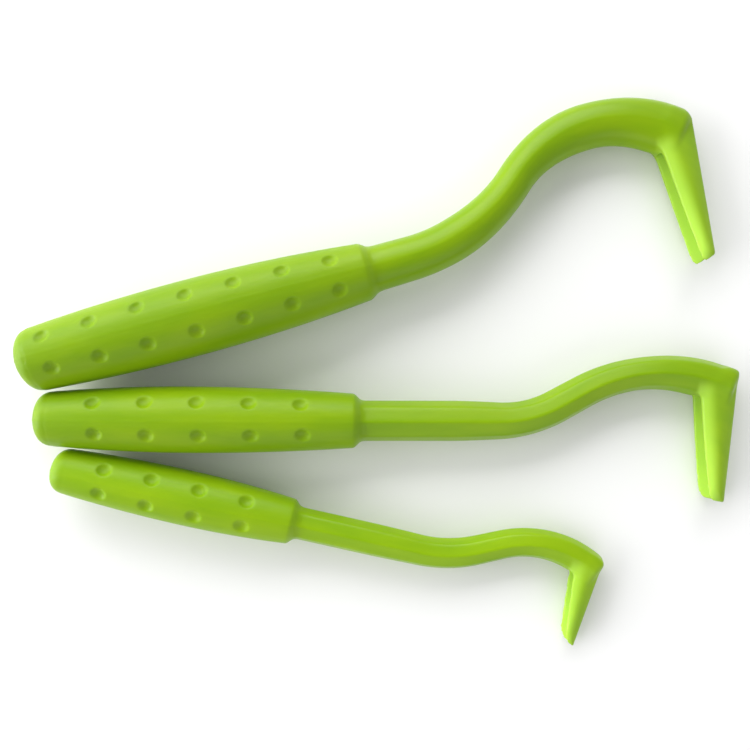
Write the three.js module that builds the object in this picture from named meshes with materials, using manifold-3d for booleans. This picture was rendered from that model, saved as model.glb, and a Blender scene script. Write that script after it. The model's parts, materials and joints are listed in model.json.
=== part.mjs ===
// A set of three hand hooks for lifting out ticks: large, medium and small.
// Each hook is one moulding: a dimpled barrel handle, an eight-sided neck with an S-bend, and a claw
// that turns down at the end and is split by a V-shaped groove into two tines.
// Units are millimetres and degrees. The hooks lie side by side on the plane z = 0, +Z is up, and the
// origin is under the middle of the set.
//
// A hook's own frame: +X runs along the handle from the butt, +Y is the side the neck bends to, and the
// neck and claw stay in the plane z = 0 of that frame. The claw points to -Y.
import * as THREE from "three";
import { mergeVertices } from "three/addons/utils/BufferGeometryUtils.js";
import Module from "manifold-3d";

const wasm = await Module();
wasm.setup();

// ---- Driving dimensions ----

// handle: radii at the butt, the belly and the front, where the shoulder to the neck starts; bellyAt and
//         length are measured from the butt end, and the shoulder takes up the last part of the length.
// neck:   heading, its angle to the handle at the shoulder, then a run of straights and bends; a bend has
//         a radius and an angle, positive to +Y.
//         width is across the neck in its plane and depth is at right angles to it, from start to claw.
// claw:   corner, the outside of the bend; inner and outer, the edges of the prong at root and tip.
// lies:   where the butt is, the way the handle points, and how it leans when it lies on a table.
const LARGE = {
  name: "large_hook",
  handle: { length: 61.1, butt: 5.4, belly: 6.45, bellyAt: 29, front: 4.95, shoulder: 2.5 },
  dimples: { count: 7, first: 6.2, pitch: 7.93, stagger: 0.35, angle: 29.5, twist: -1.0 },
  neck: {
    heading: 1.2,
    run: [{ straight: 5.7 }, { radius: 31.4, bend: 41.5 }, { radius: 21.6, bend: -82.8 }],
    width: [7.9, 7.5, 6.5, 8.0, 9.4],
    depth: [7.9, 7.6, 7.2, 6.8, 6.4],
  },
  claw: {
    corner: [119.0, 10.8],
    innerRoot: [112.6, 6.1],
    innerTip: [113.6, -13.3],
    outerTip: [116.2, -12.3],
    depth: 6.2,
  },
  lies: { butt: [0.05, -0.05], turn: 15.2, pitch: 2, roll: 2.5 },
};
const MEDIUM = {
  name: "medium_hook",
  handle: { length: 54.3, butt: 4.7, belly: 5.65, bellyAt: 25.5, front: 4.68, shoulder: 2.0 },
  dimples: { count: 5, first: 10.3, pitch: 8.4, stagger: 0.4, angle: 30, twist: 4.5 },
  neck: {
    heading: 0.35,
    run: [
      { straight: 22.6 },
      { radius: 20.7, bend: 28.6 },
      { straight: 4.9 },
      { radius: 27.4, bend: -52.7 },
    ],
    width: [7.0, 7.0, 6.0, 5.7, 7.0],
    depth: [7.0, 7.0, 6.7, 6.4, 6.3],
  },
  claw: {
    corner: [117.35, 9.1],
    innerRoot: [110.9, 4.6],
    innerTip: [111.9, -12.5],
    outerTip: [114.9, -13.0],
    depth: 6.1,
  },
  lies: { butt: [2.55, -9.07], turn: -0.5, pitch: 1.7, roll: -0.3 },
};
const SMALL = {
  name: "small_hook",
  handle: { length: 42.1, butt: 3.95, belly: 4.7, bellyAt: 23, front: 3.92, shoulder: 1.8 },
  dimples: { count: 4, first: 9.0, pitch: 7.97, stagger: 0, angle: 29, twist: 3.4 },
  neck: {
    heading: 0,
    run: [
      { straight: 20.7 },
      { radius: 23, bend: 25 },
      { straight: 4.2 },
      { radius: 17.5, bend: -54.4 },
    ],
    width: [5.7, 5.7, 5.35, 5.1, 5.5],
    depth: [5.7, 5.7, 5.4, 5.2, 5.0],
  },
  claw: {
    corner: [93.8, 4.8],
    innerRoot: [89.0, 2.0],
    innerTip: [89.3, -9.0],
    outerTip: [92.0, -9.9],
    depth: 4.8,
  },
  lies: { butt: [4.95, -17.42], turn: -13, pitch: 1.9, roll: -0.5 },
};

// Shared by the three hooks.
const BUTT_DOME = 3.0; // length of the dome at the butt end
const BUTT_FLAT = 1.6; // radius of the flat in the middle of that dome
const SHOULDER_END = 0.95; // radius where the shoulder ends, as a part of the neck's half width
const HANDLE_SIDES = 24;
const NECK_SIDES = 8;
const NECK_STEP = 3.0; // spacing of the neck's sections
const DIMPLE_WIDTH = 2.5;
const DIMPLE_DEPTH = 0.35;
const DIMPLE_SEGMENTS = [10, 8]; // round and along the ball that presses a dimple
const CLAW_EDGE = 0.7; // rounding along the claw's edges
const TIP_ROUND = 1.1; // radius of the claw's inner tip corner
const GROOVE_ANGLE = 28; // each wall of the groove from the hook's plane
const GROOVE_START = 2.0; // depth of the groove at the claw's root
const GROOVE_PAST = 0.9; // how far it cuts past the outer edge at the tip

const GREEN = new THREE.MeshStandardMaterial({ color: 0x93be1e, roughness: 0.35, metalness: 0 });

// ---- Helpers ----

const radians = THREE.MathUtils.degToRad;

// A closed geometry as a manifold solid, with its faces pointing out.
function solidOf(geometry) {
  const bare = new THREE.BufferGeometry();
  bare.setAttribute("position", geometry.getAttribute("position").clone());
  bare.setIndex(geometry.getIndex());
  const merged = mergeVertices(bare, 1e-4);
  const mesh = new wasm.Mesh({
    numProp: 3,
    vertProperties: new Float32Array(merged.getAttribute("position").array),
    triVerts: new Uint32Array(merged.getIndex().array),
  });
  return new wasm.Manifold(mesh);
}

// A manifold solid as a three.js geometry.
function geometryOf(solid) {
  const mesh = solid.getMesh();
  const geometry = new THREE.BufferGeometry();
  geometry.setAttribute("position", new THREE.BufferAttribute(mesh.vertProperties, 3));
  geometry.setIndex(new THREE.BufferAttribute(mesh.triVerts, 1));
  geometry.computeVertexNormals();
  return geometry;
}

// Moves every vertex of a geometry to where place(vertex) says.
function bend(geometry, place) {
  const position = geometry.getAttribute("position");
  const vertex = new THREE.Vector3();
  for (let i = 0; i < position.count; i += 1) {
    vertex.fromBufferAttribute(position, i);
    place(vertex);
    position.setXYZ(i, vertex.x, vertex.y, vertex.z);
  }
  return geometry;
}

// A value between the evenly spaced values of a list, t from 0 to 1.
function along(values, t) {
  const place = Math.min(Math.max(t, 0), 1) * (values.length - 1);
  const index = Math.min(Math.floor(place), values.length - 2);
  const part = THREE.MathUtils.smoothstep(place - index, 0, 1);
  return THREE.MathUtils.lerp(values[index], values[index + 1], part);
}

// ---- Handle ----

// The barrel's radius at a distance from the butt: it swells from the butt to the belly, then narrows.
function handleRadius(handle, x) {
  const toButt = (handle.bellyAt - x) / (handle.bellyAt - BUTT_DOME);
  const toFront = (x - handle.bellyAt) / (handle.length - handle.shoulder - handle.bellyAt);
  if (x < handle.bellyAt) return handle.belly - (handle.belly - handle.butt) * toButt ** 2;
  return handle.belly - (handle.belly - handle.front) * toFront ** 2;
}

// The handle turned on its axis, with a shoulder that eases down from the barrel to the neck.
function handleSolid(handle, neckWidth) {
  const domeSteps = 4;
  const barrelSteps = 9;
  const shoulderSteps = 5;
  const points = [new THREE.Vector2(0, 0)];
  const flatAngle = Math.asin(BUTT_FLAT / handle.butt);
  for (let i = 0; i < domeSteps; i += 1) {
    const angle = THREE.MathUtils.lerp(flatAngle, Math.PI / 2, i / domeSteps);
    const height = (BUTT_DOME * Math.cos(angle)) / Math.cos(flatAngle);
    points.push(new THREE.Vector2(handle.butt * Math.sin(angle), BUTT_DOME - height));
  }
  const barrelEnd = handle.length - handle.shoulder;
  const neckRadius = (SHOULDER_END * neckWidth) / 2;
  for (let i = 0; i <= barrelSteps; i += 1) {
    const x = THREE.MathUtils.lerp(BUTT_DOME, barrelEnd, i / barrelSteps);
    points.push(new THREE.Vector2(handleRadius(handle, x), x));
  }
  for (let i = 1; i <= shoulderSteps; i += 1) {
    const t = i / shoulderSteps;
    const radius = THREE.MathUtils.lerp(handle.front, neckRadius, THREE.MathUtils.smoothstep(t, 0, 1));
    points.push(new THREE.Vector2(radius, barrelEnd + handle.shoulder * t));
  }
  points.push(new THREE.Vector2(0, handle.length));
  const lathe = new THREE.LatheGeometry(points, HANDLE_SIDES);
  lathe.rotateZ(-Math.PI / 2);
  return solidOf(lathe);
}

// The balls that press the dimples into the handle: two rows on each broad side.
function dimpleSolids(handle, dimples) {
  const radius = (DIMPLE_WIDTH ** 2 / 4 + DIMPLE_DEPTH ** 2) / (2 * DIMPLE_DEPTH);
  const solids = [];
  for (const side of [0, 180]) {
    for (const row of [-dimples.angle, dimples.angle]) {
      for (let i = 0; i < dimples.count; i += 1) {
        const stagger = row > 0 ? 0 : dimples.stagger;
        const x = dimples.first + stagger + i * dimples.pitch;
        const reach = handleRadius(handle, x) + radius - DIMPLE_DEPTH;
        const angle = radians(side + row + dimples.twist);
        const ball = new THREE.SphereGeometry(radius, ...DIMPLE_SEGMENTS);
        ball.rotateX(-angle + Math.PI / 2);
        ball.translate(x, reach * Math.sin(angle), reach * Math.cos(angle));
        solids.push(solidOf(ball));
      }
    }
  }
  return solids;
}

// ---- Neck ----

// Points and headings along the neck's run of straights and bends, from the shoulder.
function neckCourse(hook) {
  const { length, shoulder } = hook.handle;
  const stations = [{ x: length - shoulder, y: 0, heading: radians(hook.neck.heading) }];
  const go = (distance, turn) => {
    const count = Math.max(1, Math.round(distance / NECK_STEP));
    for (let i = 0; i < count; i += 1) {
      const last = stations[stations.length - 1];
      const middle = last.heading + turn / count / 2;
      const step = distance / count;
      stations.push({
        x: last.x + step * Math.cos(middle),
        y: last.y + step * Math.sin(middle),
        heading: last.heading + turn / count,
      });
    }
  };
  go(shoulder, 0);
  for (const piece of hook.neck.run) {
    if (piece.straight) go(piece.straight, 0);
    else go(piece.radius * radians(Math.abs(piece.bend)), radians(piece.bend));
  }
  return stations;
}

// The neck: an eight-sided bar bent along that course, with a corner on the hook's own +Z.
function neckSolid(hook) {
  const stations = neckCourse(hook);
  const rings = stations.length - 1;
  const bar = new THREE.CylinderGeometry(1, 1, 1, NECK_SIDES, rings);
  bend(bar, (vertex) => {
    const t = vertex.y + 0.5;
    const station = stations[Math.round(t * rings)];
    const side = (vertex.x * along(hook.neck.width, t)) / 2;
    const lift = (-vertex.z * along(hook.neck.depth, t)) / 2;
    vertex.x = station.x + side * Math.sin(station.heading);
    vertex.y = station.y - side * Math.cos(station.heading);
    vertex.z = -lift;
  });
  return solidOf(bar);
}

// ---- Claw ----

// The prong as a plate with rounded edges, from the outside of the bend to the tip.
function clawSolid(claw) {
  const inset = CLAW_EDGE;
  const [cornerX, cornerY] = claw.corner;
  const outline = new THREE.Shape();
  outline.moveTo(claw.innerRoot[0] + inset, cornerY - inset);
  outline.lineTo(claw.innerRoot[0] + inset, claw.innerRoot[1]);
  outline.lineTo(claw.innerTip[0] + inset, claw.innerTip[1] + TIP_ROUND + inset);
  outline.quadraticCurveTo(
    claw.innerTip[0] + inset,
    claw.innerTip[1] + inset,
    claw.innerTip[0] + TIP_ROUND,
    claw.innerTip[1] + inset,
  );
  outline.lineTo(claw.outerTip[0] - inset, claw.outerTip[1] + inset);
  outline.lineTo(cornerX - inset, cornerY - inset);
  outline.closePath();
  const plate = new THREE.ExtrudeGeometry(outline, {
    depth: claw.depth - 2 * CLAW_EDGE,
    bevelEnabled: true,
    bevelThickness: CLAW_EDGE,
    bevelSize: CLAW_EDGE,
    bevelSegments: 2,
    curveSegments: 4,
  });
  plate.translate(0, 0, CLAW_EDGE - claw.depth / 2);
  return solidOf(plate);
}

// The wedge that cuts the groove: shallow at the root, right through at the tip.
function grooveSolid(claw) {
  const start = new THREE.Vector3(claw.innerRoot[0] + GROOVE_START, claw.innerRoot[1], 0);
  const tipY = Math.min(claw.outerTip[1], claw.innerTip[1]);
  const end = new THREE.Vector3(claw.outerTip[0] + GROOVE_PAST, tipY, 0);
  const down = end.clone().sub(start);
  const length = down.length();
  const mouth = claw.depth;
  const spread = mouth * Math.tan(radians(GROOVE_ANGLE));
  const section = new THREE.Shape();
  section.moveTo(0, 0);
  section.lineTo(-mouth, spread);
  section.lineTo(-mouth, -spread);
  section.closePath();
  const wedge = new THREE.ExtrudeGeometry(section, { depth: length + mouth, bevelEnabled: false });
  const alongZ = down.normalize();
  const acrossY = new THREE.Vector3(0, 0, 1);
  const outX = new THREE.Vector3().crossVectors(acrossY, alongZ);
  const frame = new THREE.Matrix4().makeBasis(outX, acrossY, alongZ);
  wedge.applyMatrix4(frame.setPosition(start));
  return solidOf(wedge);
}

// ---- Hooks ----

// One hook in its own frame.
function hookMesh(hook) {
  let solid = handleSolid(hook.handle, hook.neck.width[0]);
  solid = solid.add(neckSolid(hook)).add(clawSolid(hook.claw));
  solid = solid.subtract(grooveSolid(hook.claw));
  for (const dimple of dimpleSolids(hook.handle, hook.dimples)) solid = solid.subtract(dimple);
  const mesh = new THREE.Mesh(geometryOf(solid), GREEN);
  mesh.name = hook.name;
  return mesh;
}

// Lays a hook down: turned and leaning as it comes to rest, with its lowest point on the plane z = 0.
function layDown(hook) {
  const mesh = hookMesh(hook);
  mesh.rotation.order = "ZYX";
  mesh.rotation.set(radians(-hook.lies.roll), radians(hook.lies.pitch), radians(hook.lies.turn));
  mesh.position.set(hook.lies.butt[0], hook.lies.butt[1], 0);
  mesh.position.z = -new THREE.Box3().setFromObject(mesh, true).min.z;
  return mesh;
}

const group = new THREE.Group();
for (const hook of [LARGE, MEDIUM, SMALL]) group.add(layDown(hook));
const middle = new THREE.Box3().setFromObject(group, true).getCenter(new THREE.Vector3());
group.position.set(-middle.x, -middle.y, 0);

export default group;
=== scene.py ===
"""A set of three lime-green tick hooks, lying side by side: large, medium and small.

Each hook is one smooth moulded skin in place of its CAD solid. The skin is drawn from a signed field of the
hook: handle, shoulder, eight-sided neck, claw, groove, dimples and parting line, joined with soft fillets.
The field is in the hook's own frame, in millimetres: +X along the handle from the butt, +Y the side that the
neck first bends to, and the neck and claw in the plane z = 0.
"""
import json
import math

import bpy
import numpy as np
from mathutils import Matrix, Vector


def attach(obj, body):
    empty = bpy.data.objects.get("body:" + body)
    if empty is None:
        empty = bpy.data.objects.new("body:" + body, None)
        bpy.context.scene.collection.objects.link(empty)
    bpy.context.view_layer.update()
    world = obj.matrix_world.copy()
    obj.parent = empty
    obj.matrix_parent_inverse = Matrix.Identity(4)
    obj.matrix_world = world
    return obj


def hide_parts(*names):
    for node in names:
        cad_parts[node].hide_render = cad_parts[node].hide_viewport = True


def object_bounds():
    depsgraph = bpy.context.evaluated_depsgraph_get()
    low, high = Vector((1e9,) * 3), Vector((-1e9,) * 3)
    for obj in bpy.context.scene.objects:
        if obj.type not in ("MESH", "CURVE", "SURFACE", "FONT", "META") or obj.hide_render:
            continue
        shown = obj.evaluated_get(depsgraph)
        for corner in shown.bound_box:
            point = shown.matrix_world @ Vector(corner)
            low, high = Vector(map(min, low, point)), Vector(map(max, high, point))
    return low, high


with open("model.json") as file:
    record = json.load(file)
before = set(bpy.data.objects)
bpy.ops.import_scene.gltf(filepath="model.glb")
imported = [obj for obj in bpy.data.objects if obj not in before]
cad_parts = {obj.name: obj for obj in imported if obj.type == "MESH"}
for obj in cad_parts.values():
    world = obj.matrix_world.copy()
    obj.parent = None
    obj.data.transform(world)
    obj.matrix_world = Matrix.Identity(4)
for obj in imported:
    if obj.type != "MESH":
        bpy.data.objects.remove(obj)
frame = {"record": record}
cad_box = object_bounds()

MM = 0.001

# ---- Driving dimensions of the hooks, in millimetres and degrees, as in the CAD model ----

# handle: its length with the shoulder, and its radius at the butt, the belly and the front.
# dimples: two rows on each face, at angle to both sides of its middle. Stagger sets one row ahead, and
# twist turns all rows about X.
# butt_power: shape of the domed butt, 2 for an ellipse and more for a squarer one.
# ridges: sharpness of the neck's eight ridges.
# run: the neck's centreline, (length, 0) for a straight and (radius, turn) for an arc, starting at heading.
# width, depth: size of the neck in the plane z = 0 and across it, at even steps along the run.
# corner, inner_root, inner_tip, outer_tip: the claw's four corners in plan. claw_depth is its size along z.
# turn, pitch, roll: how the hook lies on the table.
LARGE = {
    "node": "large_hook",
    "body": "large",
    "handle": {"length": 61.1, "butt": 5.4, "belly": 6.45, "belly_at": 29, "front": 4.95, "shoulder": 2.5},
    "dimples": {"count": 7, "first": 6.2, "pitch": 7.93, "stagger": 0.35, "angle": 29.5, "twist": -1.0},
    "butt_power": 2.0,
    "ridges": 9,
    "heading": 1.2,
    "run": [(5.7, 0), (31.4, 41.5), (21.6, -82.8)],
    "width": [7.9, 7.5, 6.5, 8.0, 9.4],
    "depth": [7.9, 7.6, 7.2, 6.8, 6.4],
    "corner": (119.0, 10.8),
    "inner_root": (112.6, 6.1),
    "inner_tip": (113.6, -13.3),
    "outer_tip": (116.2, -12.3),
    "claw_depth": 6.2,
    "turn": 15.2,
    "pitch": 2.0,
    "roll": 2.5,
}
MEDIUM = {
    "node": "medium_hook",
    "body": "medium",
    "handle": {"length": 54.3, "butt": 4.7, "belly": 5.65, "belly_at": 25.5, "front": 4.68, "shoulder": 2.0},
    "dimples": {"count": 5, "first": 10.3, "pitch": 8.4, "stagger": 0.4, "angle": 30.0, "twist": 4.5},
    "butt_power": 2.6,
    "ridges": 24,
    "heading": 0.35,
    "run": [(22.6, 0), (20.7, 28.6), (4.9, 0), (27.4, -52.7)],
    "width": [7.0, 7.0, 6.0, 5.7, 7.0],
    "depth": [7.0, 7.0, 6.7, 6.4, 6.3],
    "corner": (117.35, 9.1),
    "inner_root": (110.9, 4.6),
    "inner_tip": (111.9, -12.5),
    "outer_tip": (114.9, -13.0),
    "claw_depth": 6.1,
    "turn": -0.5,
    "pitch": 1.7,
    "roll": -0.3,
}
SMALL = {
    "node": "small_hook",
    "body": "small",
    "handle": {"length": 42.1, "butt": 3.95, "belly": 4.7, "belly_at": 23, "front": 3.92, "shoulder": 1.8},
    "dimples": {"count": 4, "first": 9.0, "pitch": 7.97, "stagger": 0.0, "angle": 29.0, "twist": 3.4},
    "butt_power": 2.6,
    "ridges": 24,
    "heading": 0.0,
    "run": [(20.7, 0), (23, 25), (4.2, 0), (17.5, -54.4)],
    "width": [5.7, 5.7, 5.35, 5.1, 5.5],
    "depth": [5.7, 5.7, 5.4, 5.2, 5.0],
    "corner": (93.8, 4.8),
    "inner_root": (89.0, 2.0),
    "inner_tip": (89.3, -9.0),
    "outer_tip": (92.0, -9.9),
    "claw_depth": 4.8,
    "turn": -13.0,
    "pitch": 1.9,
    "roll": -0.5,
}

BUTT_DOME = 3.0  # length of the handle's domed end
BUTT_FLAT = 1.6  # radius of the flat in the middle of it
BUTT_SOFT = 0.12
FRONT_SOFT = 0.3
SHOULDER_END = 0.95  # where the shoulder ends, as a share of the neck's half width
SHOULDER_FILLET = 0.4
DIMPLE_WIDTH = 2.5
DIMPLE_DEPTH = 0.55
DIMPLE_RIM = 0.1

NECK_SIDE = math.radians(45)  # angle between the neck's eight sides
NECK_BURIED = 2.0  # the neck starts this far back inside the handle
NECK_PAST = 0.7  # and runs on this far over the claw
NECK_END = 1.0  # with an end rounded by this much

LAND_DROP = 1.05  # how far the claw's inner edge is below its ridge
RIDGE_IN = 1.8  # distance of that ridge from the inner edge
BACK_SLOPE = 8.0  # fall of the claw's sides towards its outer edge
BACK_CHAMFER = 0.9
OUTER_ROUND = 0.5
CORNER_ROUND = 0.5
TIP_ROUND = 1.2
TIP_PAST = 0.35  # the soft ends and edges reach as far as the CAD solid's sharper ones
EDGE_PAST = 0.2
TIP_NOSE = 0.3  # each tine's end is this much shorter at its outer face than at its middle
NOSE_AT = 0.6  # place of that middle, as a share of the claw's half depth
CLAW_SOFT = 0.7
CROOK_FILLET = 0.9
CLAW_SINK = 2.4  # the claw starts this far under the arch's outer side
CLAW_SINK_OVER = 4.0

GROOVE_ANGLE = 28  # of each wall from the plane z = 0
GROOVE_START = 2.2
GROOVE_PAST = 0.9
GROOVE_RISE = 0.5  # how far the groove starts above the crook's corner
GROOVE_SOFT = 0.18
GROOVE_HEAD_SOFT = 0.8

SEAM_HEIGHT = 0.035  # of the parting line, which runs along the middle of both faces
SEAM_HALF = 0.22
SEAM_FADE = 4.0  # it fades out over this last stretch of the neck

INSET = 0.11  # keeps the skin inside the CAD solid's box
GRID = 0.25  # spacing of the field's samples
MARGIN = 1.0  # room around the hook in the grid
RELAX_ROUNDS = 4

# Where the middle of each hook's butt is, by body.
BUTTS = {
    mount["name"].removesuffix("_butt"): np.array(mount["pos_m"])
    for mount in frame["record"]["mounts"]
    if mount["name"].endswith("_butt")
}


# ---- Fields ----


def soft_min(a, b, k):
    """The smaller of two fields, with a fillet of about k between them."""
    h = np.maximum(k - np.abs(a - b), 0) / k
    return np.minimum(a, b) - h * h * k / 4


def soft_max(a, b, k):
    """The larger of two fields, with an edge rounded by about k between them."""
    return -soft_min(-a, -b, k)


def round_max(a, b, r):
    """Two fields crossed, with an outside corner of radius r."""
    outside = np.hypot(np.maximum(a + r, 0), np.maximum(b + r, 0))
    return np.minimum(np.maximum(a, b), -r) + outside


def smoothstep(t):
    t = np.clip(t, 0, 1)
    return t * t * (3 - 2 * t)


def along(values, t):
    """A value between the evenly spaced values of a list, t from 0 to 1."""
    place = np.clip(t, 0, 1) * (len(values) - 1)
    index = np.minimum(place.astype(int), len(values) - 2)
    values = np.array(values, float)
    part = smoothstep(place - index)
    return values[index] * (1 - part) + values[index + 1] * part


def barrel_end(hook):
    """Where the handle's barrel ends and its shoulder starts."""
    return hook["handle"]["length"] - hook["handle"]["shoulder"]


def neck_course(hook):
    """The stretches of the neck's centreline: start, heading, length and curvature."""
    x, y = barrel_end(hook), 0.0
    heading = math.radians(hook["heading"])
    pieces = [(hook["handle"]["shoulder"], 0.0)]
    for size, turn in hook["run"]:
        if turn:
            pieces.append((size * math.radians(abs(turn)), math.copysign(1 / size, turn)))
        else:
            pieces.append((size, 0.0))
    course = []
    for length, curve in pieces:
        course.append((x, y, heading, length, curve))
        middle = heading + length * curve / 2
        chord = length if not curve else 2 * math.sin(length * abs(curve) / 2) / abs(curve)
        x += chord * math.cos(middle)
        y += chord * math.sin(middle)
        heading += length * curve
    return course


def follow(course, x, y):
    """For points: distance along the course, offset to its left, distance past its end. Also its length."""
    best = np.full(x.shape, np.inf)
    run = np.zeros(x.shape)
    side = np.zeros(x.shape)
    done = 0.0
    for x0, y0, heading, length, curve in course:
        u = (x - x0) * math.cos(heading) + (y - y0) * math.sin(heading)
        v = (y - y0) * math.cos(heading) - (x - x0) * math.sin(heading)
        if curve:
            radius, hand = 1 / abs(curve), math.copysign(1, curve)
            free = np.arctan2(u, radius - hand * v) * radius
            offset = hand * (radius - np.hypot(u, radius - hand * v))
            held = np.clip(free, 0, length)
            angle = held / radius
            gap = np.hypot(u - radius * np.sin(angle), v - hand * radius * (1 - np.cos(angle)))
        else:
            free, offset = u, v
            held = np.clip(free, 0, length)
            gap = np.hypot(u - held, v)
        nearer = gap < best
        best = np.where(nearer, gap, best)
        run = np.where(nearer, done + held, run)
        side = np.where(nearer, offset, side)
        done += length
        last = free - length
    return run, side, last, done


def handle_radius(hook, x):
    """Radius of the handle at x: butt to belly to front, then the shoulder down to the neck."""
    handle = hook["handle"]
    belly_at, end = handle["belly_at"], barrel_end(hook)
    to_butt = np.clip((belly_at - x) / (belly_at - BUTT_DOME), 0, 1)
    to_front = np.clip((x - belly_at) / (end - belly_at), 0, 1)
    radius = handle["belly"] - (handle["belly"] - handle["butt"]) * to_butt**2
    radius = radius - (handle["belly"] - handle["front"]) * to_front**2
    ease = smoothstep((x - end) / handle["shoulder"])
    return radius - (handle["front"] - SHOULDER_END * hook["width"][0] / 2) * ease


def handle_field(hook, x, y, z):
    handle = hook["handle"]
    reach = np.hypot(y, z)
    radius = handle_radius(hook, x)
    step = 0.05
    steep = (handle_radius(hook, x + step) - radius) / step
    barrel = (reach - radius) / np.sqrt(1 + steep**2)
    dome_length = BUTT_DOME / math.cos(math.asin(BUTT_FLAT / handle["butt"]))
    from_dome = np.maximum(BUTT_DOME - x, 0) / dome_length
    power = hook["butt_power"]
    dome = (((reach / handle["butt"]) ** power + from_dome**power) ** (1 / power) - 1) * BUTT_DOME
    field = np.where(x < BUTT_DOME, dome, barrel)
    field = soft_max(field, -x, BUTT_SOFT)
    return soft_max(field, x - handle["length"], FRONT_SOFT)


def neck_field(hook, run, side, last, total, x, z):
    """The eight-sided neck: a norm of the distances to its sides, so that its ridges are rounded."""
    width = along(hook["width"], run / total) / 2
    depth = along(hook["depth"], run / total) / 2
    a, b = np.abs(side) / width, np.abs(z) / depth
    near, far = math.cos(NECK_SIDE / 2), math.sin(NECK_SIDE / 2)
    flats = [
        a * near + b * far,
        a * far + b * near,
        np.maximum(a * near - b * far, 0),
        np.maximum(b * near - a * far, 0),
    ]
    power = hook["ridges"]
    norm = sum(flat**power for flat in flats) ** (1 / power)
    field = (norm / near / 2 ** (1 / power) - 1) * np.minimum(width, depth)
    field = np.maximum(field, barrel_end(hook) - NECK_BURIED - x)
    return soft_max(field, last - NECK_PAST, NECK_END)


def edge_line(start, end, x, y):
    """Signed distance of points from a line, positive to its left."""
    dx, dy = end[0] - start[0], end[1] - start[1]
    return ((y - start[1]) * dx - (x - start[0]) * dy) / math.hypot(dx, dy)


def claw_field(hook, run, side, last, total, x, y, z):
    """The claw: a plate in plan, cut above and below by a bevel, a sloped side and a chamfer."""
    inner = -edge_line(hook["inner_root"], hook["inner_tip"], x, y) - EDGE_PAST
    outer = edge_line(hook["corner"], hook["outer_tip"], x, y) - EDGE_PAST / 2
    tip = -edge_line(hook["inner_tip"], hook["outer_tip"], x, y) - TIP_PAST
    half = hook["claw_depth"] / 2 - INSET

    # The plate's top runs on in the neck's last direction, and stays under the arch's outer side.
    corner = hook["corner"]
    way = math.radians(hook["heading"] + sum(turn for _, turn in hook["run"] if turn))
    ahead = (corner[0] + math.cos(way), corner[1] + math.sin(way))
    sunk = CLAW_SINK * smoothstep(-last / CLAW_SINK_OVER)
    arch = side - along(hook["width"], run / total) / 2 + sunk
    top = soft_max(edge_line(corner, ahead, x, y), arch, CORNER_ROUND)

    nose = TIP_NOSE * ((np.abs(z) - NOSE_AT * half) / ((1 - NOSE_AT) * half)) ** 2
    plan = round_max(inner, tip + nose, TIP_ROUND)
    plan = round_max(plan, outer, OUTER_ROUND)
    plan = round_max(plan, top, CORNER_ROUND)

    lift = np.abs(z) - half
    bevel = ((inner + RIDGE_IN) * LAND_DROP + lift * RIDGE_IN) / math.hypot(RIDGE_IN, LAND_DROP)
    slope = math.radians(BACK_SLOPE)
    back = lift * math.cos(slope) - (inner + RIDGE_IN) * math.sin(slope)
    rim = round_max(outer, top, CORNER_ROUND)
    rim = np.maximum(rim, tip)
    chamfer = (rim + lift + BACK_CHAMFER) / math.sqrt(2)
    field = soft_max(bevel, back, CLAW_SOFT)
    field = soft_max(field, chamfer, CLAW_SOFT * 2)
    return soft_max(field, plan, CLAW_SOFT / 2)


def groove_field(hook, x, y, z):
    """Below zero inside the V that parts the two tines."""
    start = (hook["inner_root"][0] + GROOVE_START, hook["inner_root"][1])
    end = (hook["outer_tip"][0] + GROOVE_PAST, min(hook["outer_tip"][1], hook["inner_tip"][1]))
    open_way = -edge_line(start, end, x, y)
    dx, dy = end[0] - start[0], end[1] - start[1]
    down = ((x - start[0]) * dx + (y - start[1]) * dy) / math.hypot(dx, dy)
    angle = math.radians(GROOVE_ANGLE)
    wall = np.sqrt(z * z + GROOVE_SOFT**2) * math.cos(angle) - open_way * math.sin(angle)
    wall = soft_max(wall, -down - GROOVE_RISE, GROOVE_HEAD_SOFT)
    return np.maximum(wall, open_way - hook["claw_depth"])


def dimple_balls(hook):
    """The ball that presses a dimple: its radius, and its centre for each dimple."""
    dimples = hook["dimples"]
    ball = (DIMPLE_WIDTH**2 / 4 + DIMPLE_DEPTH**2) / (2 * DIMPLE_DEPTH)
    centres = []
    for face in (0, 180):
        for row in (-dimples["angle"], dimples["angle"]):
            angle = math.radians(face + row + dimples["twist"])
            first = dimples["first"] + (0 if row > 0 else dimples["stagger"])
            for i in range(dimples["count"]):
                x = first + i * dimples["pitch"]
                reach = handle_radius(hook, x) + ball - DIMPLE_DEPTH
                centres.append((x, reach * math.sin(angle), reach * math.cos(angle)))
    return ball, centres


def hook_field(hook, x, y, z, seam=SEAM_HEIGHT):
    """Below zero inside the hook."""
    run, side, last, total = follow(neck_course(hook), x, y)
    field = handle_field(hook, x, y, z)
    field = soft_min(field, neck_field(hook, run, side, last, total, x, z), SHOULDER_FILLET)
    field = soft_min(field, claw_field(hook, run, side, last, total, x, y, z), CROOK_FILLET)
    across = np.where(x < barrel_end(hook), y, side)
    before_claw = 1 - smoothstep((last + SEAM_FADE) / SEAM_FADE)
    field = field - seam * np.exp(-((across / SEAM_HALF) ** 2)) * before_claw
    field = soft_max(field, -groove_field(hook, x, y, z), GROOVE_SOFT)
    ball, centres = dimple_balls(hook)
    for cx, cy, cz in centres:
        near = np.abs(x - cx) < ball
        if not near.any():
            continue
        away = np.sqrt((x[near] - cx) ** 2 + (y[near] - cy) ** 2 + (z[near] - cz) ** 2)
        field[near] = soft_max(field[near], ball - away, DIMPLE_RIM)
    return field + INSET


# ---- From field to mesh ----


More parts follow.
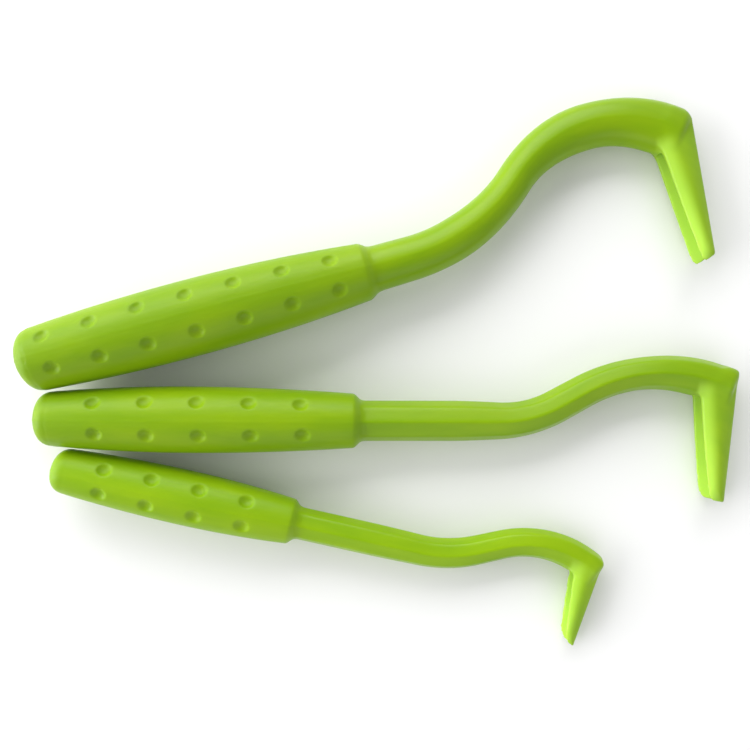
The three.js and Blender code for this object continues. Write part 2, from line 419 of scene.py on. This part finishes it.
def surface_nets(values, origin, step):
    """Vertices and quads of the zero surface of values on a regular grid."""
    inside = values < 0
    shape = tuple(n - 1 for n in values.shape)
    count = np.zeros(shape, np.int8)
    corners = [(i, j, k) for i in (0, 1) for j in (0, 1) for k in (0, 1)]
    for i, j, k in corners:
        count += inside[i : i + shape[0], j : j + shape[1], k : k + shape[2]]

    # One vertex in each cell that the surface crosses, at the middle of its edges' crossings.
    cells = np.argwhere((count > 0) & (count < len(corners)))
    number = np.full(shape, -1, np.int64)
    number[tuple(cells.T)] = np.arange(len(cells))
    total = np.zeros((len(cells), 3))
    hits = np.zeros(len(cells))
    for corner in corners:
        for axis in range(3):
            if corner[axis]:
                continue
            a = cells + corner
            b = a.copy()
            b[:, axis] += 1
            fa, fb = values[tuple(a.T)], values[tuple(b.T)]
            crossing = (fa < 0) != (fb < 0)
            t = np.where(crossing, fa / np.where(crossing, fa - fb, 1), 0)
            point = np.tile(np.array(corner, float), (len(cells), 1))
            point[:, axis] = t
            total[crossing] += point[crossing]
            hits += crossing
    vertices = origin + step * (cells + total / hits[:, None])

    # One quad round each grid edge that the surface crosses.
    quads = []
    for axis in range(3):
        u, v = (axis + 1) % 3, (axis + 2) % 3
        low = [slice(None)] * 3
        high = [slice(None)] * 3
        low[axis], high[axis] = slice(None, -1), slice(1, None)
        first, second = inside[tuple(low)], inside[tuple(high)]
        edges = np.argwhere(first != second)
        edges = edges[(edges[:, u] > 0) & (edges[:, v] > 0)]
        ring = []
        for du, dv in ((-1, -1), (0, -1), (0, 0), (-1, 0)):
            cell = edges.copy()
            cell[:, u] += du
            cell[:, v] += dv
            ring.append(number[tuple(cell.T)])
        quad = np.stack(ring, 1)
        leaves = first[tuple(edges.T)]
        quad[~leaves] = quad[~leaves][:, ::-1]
        quads.append(quad)
    return vertices, np.concatenate(quads)


def settle(hook, vertices):
    """Moves vertices onto the field's zero surface, and returns them with the outward direction there."""
    passes = 2
    e = 0.02  # half of the step that the slope is measured over
    least = 0.05  # keeps a flat place in the field from throwing a vertex off
    for _ in range(passes):
        x, y, z = vertices.T
        value = hook_field(hook, x, y, z)
        slope = np.stack(
            [
                hook_field(hook, x + e, y, z) - hook_field(hook, x - e, y, z),
                hook_field(hook, x, y + e, z) - hook_field(hook, x, y - e, z),
                hook_field(hook, x, y, z + e) - hook_field(hook, x, y, z - e),
            ],
            1,
        ) / (2 * e)
        square = np.maximum((slope**2).sum(1), least)
        step = -(value / square)[:, None] * slope
        size = np.linalg.norm(step, axis=1, keepdims=True)
        vertices = vertices + step * np.minimum(1, GRID / 2 / np.maximum(size, 1e-9))
    return vertices, slope / np.sqrt(square)[:, None]


def relax(vertices, quads, outward):
    """Evens out the mesh: each vertex moves half way to the middle of its neighbours, along the surface."""
    a = quads.ravel()
    b = np.roll(quads, -1, axis=1).ravel()
    ends = np.concatenate([a, b])
    others = np.concatenate([b, a])
    n = len(vertices)
    degree = np.bincount(ends, minlength=n)
    middle = np.stack([np.bincount(ends, vertices[others, i], n) for i in range(3)], 1) / degree[:, None]
    move = middle - vertices
    move -= (move * outward).sum(1, keepdims=True) * outward
    return vertices + move / 2


def hook_mesh(hook):
    """Vertices in the hook's own frame and quads."""
    end = max(hook["corner"][0], hook["outer_tip"][0]) + MARGIN
    bottom = min(hook["inner_tip"][1], hook["outer_tip"][1]) - MARGIN
    arch = hook["corner"][1] + max(hook["width"])
    thick = hook["handle"]["belly"] + MARGIN
    low = np.array([-MARGIN, bottom, -thick])
    high = np.array([end, arch, thick])
    low = (np.floor(low / GRID) - 0.5) * GRID
    counts = np.ceil((high - low) / GRID).astype(int) + 1
    axes = [low[i] + GRID * np.arange(counts[i]) for i in range(3)]
    x, y, z = np.meshgrid(*axes, indexing="ij")
    values = hook_field(hook, x, y, z, seam=0.0)  # the seam, finer than the grid, comes in with settle
    vertices, quads = surface_nets(values, low, GRID)
    vertices, outward = settle(hook, vertices)
    for _ in range(RELAX_ROUNDS):
        vertices = relax(vertices, quads, outward)
        vertices, outward = settle(hook, vertices)
    return vertices, quads


# Where the claw gets a pale painted highlight, on its groove walls and inner ridge, and how strong, from 0
# to 1.
PALE_BASE = 0.1  # all of the claw
PALE_GROOVE = 0.8
PALE_RIDGE = 0.55
PALE_WALL = 0.25  # distance from the groove's wall where its pale tone ends
PALE_ABOVE = 3.2  # height over the crook's corner where the pale tone starts
PALE_ABOVE_FADE = 2.4
PALE_BEFORE = 1.2  # distance off the claw's inner edge where it starts
PALE_BEFORE_FADE = 0.8
PALE_RIDGE_FROM = 0.3
PALE_RIDGE_FADE = 2.1
PALE_FACE_BELOW = 0.5
PALE_FACE_FADE = 0.4


def claw_painted_highlight(hook, x, y, z):
    """How strong the claw's pale painted highlight is: most on the groove's walls and the claw's inner
    ridge, more towards the tip.
    """
    root, tip = hook["inner_root"], hook["inner_tip"]
    depth_in = edge_line(root, tip, x, y)
    on_claw = smoothstep((depth_in + PALE_BEFORE) / PALE_BEFORE_FADE)
    on_claw = on_claw * smoothstep((root[1] + PALE_ABOVE - y) / PALE_ABOVE_FADE)
    down = 0.5 + 0.5 * smoothstep((root[1] - y) / (root[1] - tip[1]))
    in_groove = smoothstep(1 - np.abs(groove_field(hook, x, y, z)) / PALE_WALL)
    land = hook["claw_depth"] / 2 - LAND_DROP
    on_face = smoothstep((np.abs(z) - land + PALE_FACE_BELOW) / PALE_FACE_FADE)
    on_ridge = smoothstep(1 - (depth_in - PALE_RIDGE_FROM) / PALE_RIDGE_FADE) * on_face
    return on_claw * (PALE_BASE + down * np.maximum(PALE_GROOVE * in_groove, PALE_RIDGE * on_ridge))


def lay_down(hook, vertices):
    """Turns a hook as it comes to rest, and sets its butt where the record has it, in metres."""
    angles = (math.radians(hook[key]) for key in ("turn", "pitch", "roll"))
    (ct, st), (cp, sp), (cr, sr) = ((math.cos(angle), math.sin(angle)) for angle in angles)
    about_z = np.array([[ct, -st, 0], [st, ct, 0], [0, 0, 1]])
    about_y = np.array([[cp, 0, sp], [0, 1, 0], [-sp, 0, cp]])
    about_x = np.array([[1, 0, 0], [0, cr, sr], [0, -sr, cr]])
    placed = vertices @ (about_z @ about_y @ about_x).T * MM
    return placed + BUTTS[hook["body"]]


def quad_mesh(name, vertices, quads):
    mesh = bpy.data.meshes.new(name)
    mesh.vertices.add(len(vertices))
    mesh.vertices.foreach_set("co", vertices.astype(np.float32).ravel())
    mesh.loops.add(quads.size)
    mesh.loops.foreach_set("vertex_index", quads.astype(np.int32).ravel())
    mesh.polygons.add(len(quads))
    mesh.polygons.foreach_set("loop_start", np.arange(0, quads.size, 4, dtype=np.int32))
    mesh.update(calc_edges=True)
    mesh.validate()
    mesh.polygons.foreach_set("use_smooth", np.ones(len(mesh.polygons), bool))
    return mesh


def keep_values(mesh, name, values):
    """Stores a number or a vector for each vertex, for the material to read."""
    if values.ndim == 1:
        layer, key = mesh.attributes.new(name, "FLOAT", "POINT"), "value"
    else:
        layer, key = mesh.attributes.new(name, "FLOAT_VECTOR", "POINT"), "vector"
    layer.data.foreach_set(key, values.astype(np.float32).ravel())


GRIP_FADE = 1.5  # the grip's surface gives way to the neck's over this distance


def skin(hook, material):
    """One hook's skin, with where each point is along and across the hook, for its material."""
    own, quads = hook_mesh(hook)
    mesh = quad_mesh(hook["node"] + "_skin", lay_down(hook, own), quads)
    x, y, z = own.T
    run, side, last, _ = follow(neck_course(hook), x, y)
    end = barrel_end(hook)
    reach = np.where(x < end, x, end + run + np.maximum(last, 0))
    across = np.where(x < end, y, side)
    keep_values(mesh, "course", np.stack([reach, across, z], 1) * MM)
    keep_values(mesh, "grip", 1 - smoothstep((x - end) / GRIP_FADE))
    # The pale painted highlight on the claw's groove walls and inner ridge, for the material.
    keep_values(mesh, "painted_highlight", claw_painted_highlight(hook, x, y, z))
    mesh.materials.append(material)
    piece = bpy.data.objects.new(hook["node"] + "_skin", mesh)
    bpy.context.scene.collection.objects.link(piece)
    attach(piece, hook["body"])
    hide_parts(hook["node"])


# ---- Materials ----


class Nodes:
    """A material's node tree, with short calls to add and join nodes."""

    def __init__(self, name):
        self.material = bpy.data.materials.new(name)
        self.material.use_nodes = True
        self.tree = self.material.node_tree
        self.shader = self.tree.nodes["Principled BSDF"]

    def add(self, kind, settings=None, **inputs):
        node = self.tree.nodes.new("ShaderNode" + kind)
        for key, value in (settings or {}).items():
            setattr(node, key, value)
        for key, value in inputs.items():
            self.put(node.inputs[key.replace("_", " ")], value)
        return node

    def put(self, socket, value):
        if isinstance(value, bpy.types.NodeSocket):
            self.tree.links.new(value, socket)
        else:
            socket.default_value = value

    def attribute(self, name, output):
        return self.add("Attribute", {"attribute_name": name}).outputs[output]

    def math(self, operation, a, b):
        node = self.add("Math", {"operation": operation})
        self.put(node.inputs[0], a)
        self.put(node.inputs[1], b)
        return node.outputs[0]

    def blend_colours(self, factor, a, b):
        node = self.add("Mix", {"data_type": "RGBA"}, Factor=factor)
        self.put(node.inputs[6], a)
        self.put(node.inputs[7], b)
        return node.outputs[2]

    def blend_numbers(self, factor, a, b):
        node = self.add("Mix", {"data_type": "FLOAT"}, Factor=factor)
        self.put(node.inputs[2], a)
        self.put(node.inputs[3], b)
        return node.outputs[0]

    def noise(self, vector, scale, detail=3.0, roughness=0.5):
        node = self.add("TexNoise", Vector=vector, Scale=scale, Detail=detail, Roughness=roughness)
        return node.outputs["Fac"]

    def remap(self, value, window, to=(0.0, 1.0)):
        """Stretches the window's range of a value to another range."""
        ends = {"From_Min": window[0], "From_Max": window[1], "To_Min": to[0], "To_Max": to[1]}
        return self.add("MapRange", Value=value, **ends).outputs[0]


LIME = (0.235, 0.395, 0.0015)
LIME_DEEP = (0.19, 0.35, 0.001)
# Pale lime painted on as a highlight on the claw's groove walls and inner ridge.
LIME_PAINTED_HIGHLIGHT = (0.56, 0.90, 0.12)
LIGHTER = {"large": 1.0, "medium": 1.03, "small": 1.15}  # the small hook's moulding is a little paler
PATTERN_SHIFT = 0.37  # from one hook's pattern to the next one's, in metres

# Scales are per metre. A stretch below 1 draws a pattern out along the hook.
FLOW_SCALE = 260.0
FLOW_STRETCH = 0.22
GRAIN_SCALE = 2600.0
WAVE_SCALE = 330.0
SCRATCH_SCALE = 2400.0
SCRATCH_STRETCH = 0.12
SCRATCH_TURN = 0.9
FLOW_WINDOW = (0.35, 0.65)
GRAIN_WINDOW = (0.3, 0.7)
SCRATCH_WINDOW = (0.35, 0.65)

NECK_ROUGHNESS = (0.28, 0.36)
GRIP_ROUGHNESS = (0.34, 0.5)
GRAIN_RELIEF = 0.12
WAVE_RELIEF = 0.5
SCRATCH_RELIEF = 1.2
NECK_RELIEF = (0.3, 1.0)  # share of the relief on the neck and on the grip


def lime_plastic(body, shift):
    """Glossy lime moulding: faint flow marks in colour, fine grain and scratches, softer on the grip, and a
    pale painted highlight on the claw's groove walls and ridge.
    """
    n = Nodes("lime_" + body)
    place = n.attribute("course", "Vector")
    grip = n.attribute("grip", "Fac")
    painted_highlight = n.attribute("painted_highlight", "Fac")
    moved = n.add("Mapping", Vector=place, Location=(shift, 0, 0)).outputs[0]
    drawn = n.add("Mapping", Vector=place, Location=(shift, 0, 0), Scale=(FLOW_STRETCH, 1, 1)).outputs[0]
    turned = n.add("Mapping", Vector=place, Rotation=(0, 0, SCRATCH_TURN), Scale=(SCRATCH_STRETCH, 1, 1))
    flow = n.noise(drawn, FLOW_SCALE)
    grain = n.noise(moved, GRAIN_SCALE, detail=2.0)
    wave = n.noise(moved, WAVE_SCALE, detail=2.0)
    scratch = n.noise(turned.outputs[0], SCRATCH_SCALE, detail=4.0, roughness=0.65)

    deep = tuple(LIGHTER[body] * channel for channel in LIME_DEEP) + (1,)
    lime = tuple(LIGHTER[body] * channel for channel in LIME) + (1,)
    colour = n.blend_colours(n.remap(flow, FLOW_WINDOW), deep, lime)
    # Painted highlight: pale lime laid over the claw's groove walls and inner ridge.
    colour = n.blend_colours(painted_highlight, colour, LIME_PAINTED_HIGHLIGHT + (1,))
    n.put(n.shader.inputs["Base Color"], colour)

    neck_rough = n.remap(grain, GRAIN_WINDOW, NECK_ROUGHNESS)
    grip_rough = n.remap(scratch, SCRATCH_WINDOW, GRIP_ROUGHNESS)
    n.put(n.shader.inputs["Roughness"], n.blend_numbers(grip, neck_rough, grip_rough))

    height = n.math("ADD", n.math("MULTIPLY", grain, GRAIN_RELIEF), n.math("MULTIPLY", wave, WAVE_RELIEF))
    height = n.math("MULTIPLY", height, n.remap(grip, (0.0, 1.0), NECK_RELIEF))
    scratches = n.math("MULTIPLY", n.math("MULTIPLY", scratch, SCRATCH_RELIEF), grip)
    height = n.math("ADD", height, scratches)
    bump = n.add("Bump", Height=height, Strength=0.35, Distance=0.06 * MM)
    n.put(n.shader.inputs["Normal"], bump.outputs[0])

    n.shader.inputs["IOR"].default_value = 1.49
    n.shader.inputs["Specular IOR Level"].default_value = 0.24
    n.shader.inputs["Subsurface Weight"].default_value = 0.22
    n.shader.inputs["Subsurface Radius"].default_value = (0.8, 1.0, 0.15)
    n.shader.inputs["Subsurface Scale"].default_value = 1.6 * MM
    return n.material


BOARD_DARK = (0.90, 0.90, 0.90, 1)
BOARD_LIGHT = (0.92, 0.92, 0.92, 1)
BOARD_CLOUD_SCALE = 6.0
BOARD_TOOTH_SCALE = 900.0


def table_top():
    """A matt pale board with a trace of tooth."""
    n = Nodes("pale_board")
    place = n.add("TexCoord").outputs["Object"]
    tooth = n.noise(place, BOARD_TOOTH_SCALE, detail=2.0)
    cloud = n.remap(n.noise(place, BOARD_CLOUD_SCALE), (0.3, 0.7))
    n.put(n.shader.inputs["Base Color"], n.blend_colours(cloud, BOARD_DARK, BOARD_LIGHT))
    n.shader.inputs["Roughness"].default_value = 0.8
    n.shader.inputs["Specular IOR Level"].default_value = 0.1
    bump = n.add("Bump", Height=tooth, Strength=0.1, Distance=0.05 * MM)
    n.put(n.shader.inputs["Normal"], bump.outputs[0])
    return n.material


# ---- Stage, lights and camera, in metres ----

CAMERA_PLACE = (-0.00123, -0.00060, 0.135)
CAMERA_LENS = 37.15
CAMERA_SENSOR = 36
CAMERA_CLIP = 0.005
FLOOR_SIZE = 3.0
SKY_FADE = (0.1, 0.95)  # from near the horizon to near the top
SKY_STRENGTH = (0.75, 0.30)
LIGHTS = {
    "key": {"place": (-0.14, 0.56, 0.36), "size": (0.80, 0.40), "watts": 4.3},
    "side": {"place": (-0.66, 0.04, 0.26), "size": (0.80, 0.50), "watts": 5.5},
    "fill": {"place": (0.18, -0.60, 0.42), "size": (0.90, 0.50), "watts": 1.3},
}


def camera():
    """A camera straight above the set, looking down."""
    data = bpy.data.cameras.new("camera")
    data.lens = CAMERA_LENS
    data.sensor_width = CAMERA_SENSOR
    data.clip_start = CAMERA_CLIP
    seen = bpy.data.objects.new("camera", data)
    seen.location = CAMERA_PLACE
    bpy.context.scene.collection.objects.link(seen)
    bpy.context.scene.camera = seen


def floor():
    bpy.ops.mesh.primitive_plane_add(size=FLOOR_SIZE, location=(0, 0, cad_box[0][2]))
    board = bpy.context.object
    board.name = "floor"
    board.data.materials.append(table_top())


def soft_light(name, place, size, watts):
    """An area light aimed at the middle of the set."""
    data = bpy.data.lights.new(name, "AREA")
    data.shape = "RECTANGLE"
    data.size, data.size_y = size
    data.energy = watts
    lamp = bpy.data.objects.new(name, data)
    bpy.context.scene.collection.objects.link(lamp)
    lamp.location = place
    lamp.rotation_euler = (-Vector(place)).to_track_quat("-Z", "Y").to_euler()


def sky():
    """A white sky, dimmer overhead than near the horizon."""
    world = bpy.data.worlds.new("studio")
    bpy.context.scene.world = world
    world.use_nodes = True
    tree = world.node_tree
    background = tree.nodes["Background"]
    place = tree.nodes.new("ShaderNodeTexCoord")
    split = tree.nodes.new("ShaderNodeSeparateXYZ")
    fade = tree.nodes.new("ShaderNodeMapRange")
    fade.inputs["From Min"].default_value, fade.inputs["From Max"].default_value = SKY_FADE
    fade.inputs["To Min"].default_value, fade.inputs["To Max"].default_value = SKY_STRENGTH
    tree.links.new(place.outputs["Generated"], split.inputs[0])
    tree.links.new(split.outputs["Z"], fade.inputs["Value"])
    tree.links.new(fade.outputs[0], background.inputs["Strength"])
    background.inputs["Color"].default_value = (1, 1, 1, 1)


def studio():
    sky()
    for name, light in LIGHTS.items():
        soft_light(name, **light)
    bpy.context.scene.view_settings.view_transform = "Standard"


# ---- The set ----

camera()
floor()
studio()
for i, hook in enumerate((LARGE, MEDIUM, SMALL)):
    skin(hook, lime_plastic(hook["body"], PATTERN_SHIFT * i))
